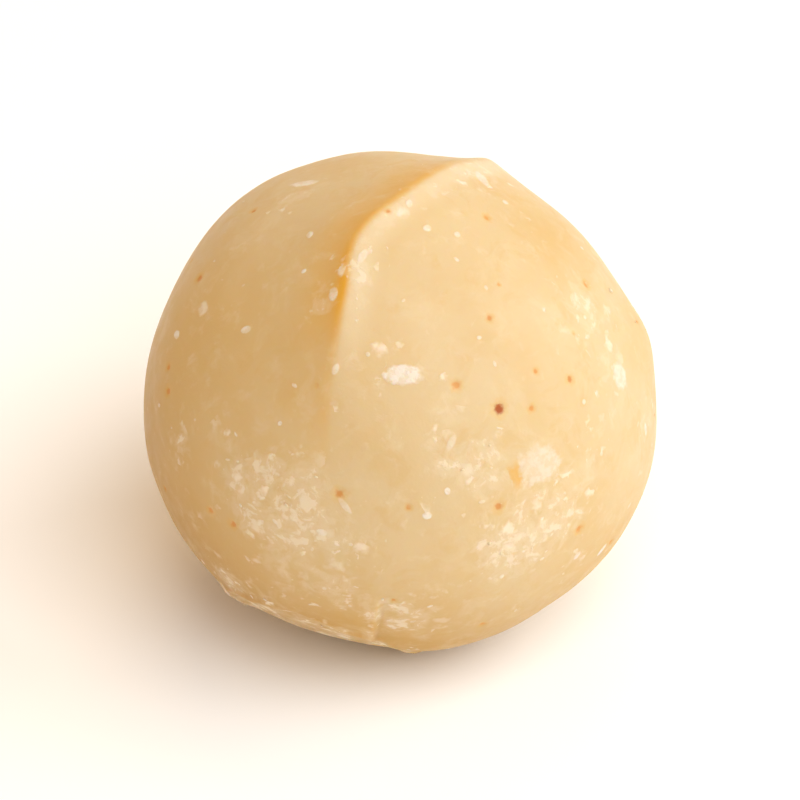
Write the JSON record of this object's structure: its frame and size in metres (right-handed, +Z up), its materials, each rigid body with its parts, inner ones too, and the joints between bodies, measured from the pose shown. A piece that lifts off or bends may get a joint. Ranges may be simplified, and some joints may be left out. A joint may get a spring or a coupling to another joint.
{
  "type": "shelled macadamia kernel",
  "caption": "Whole shelled macadamia kernel, a cream, nearly round nut with a blunt tip and a crest over its top, resting on a small flat.",
  "frame": {"origin": "middle of the bounding box's bottom face, on the plane that the kernel rests on", "axes": "+Z up, away from the resting flat; +X along the widest way across, to the right seen from the front; -Y towards the front, where the crest runs down and fades"},
  "size_m": [0.019, 0.0186, 0.0185],
  "materials": {
    "kernel_flesh": "pale cream to gold waxy nut flesh, satin, with chalky bloom patches, white flecks and small brown specks"
  },
  "bodies": {
    "root": {"kernel": "kernel_flesh"}
  },
  "joints": []
}
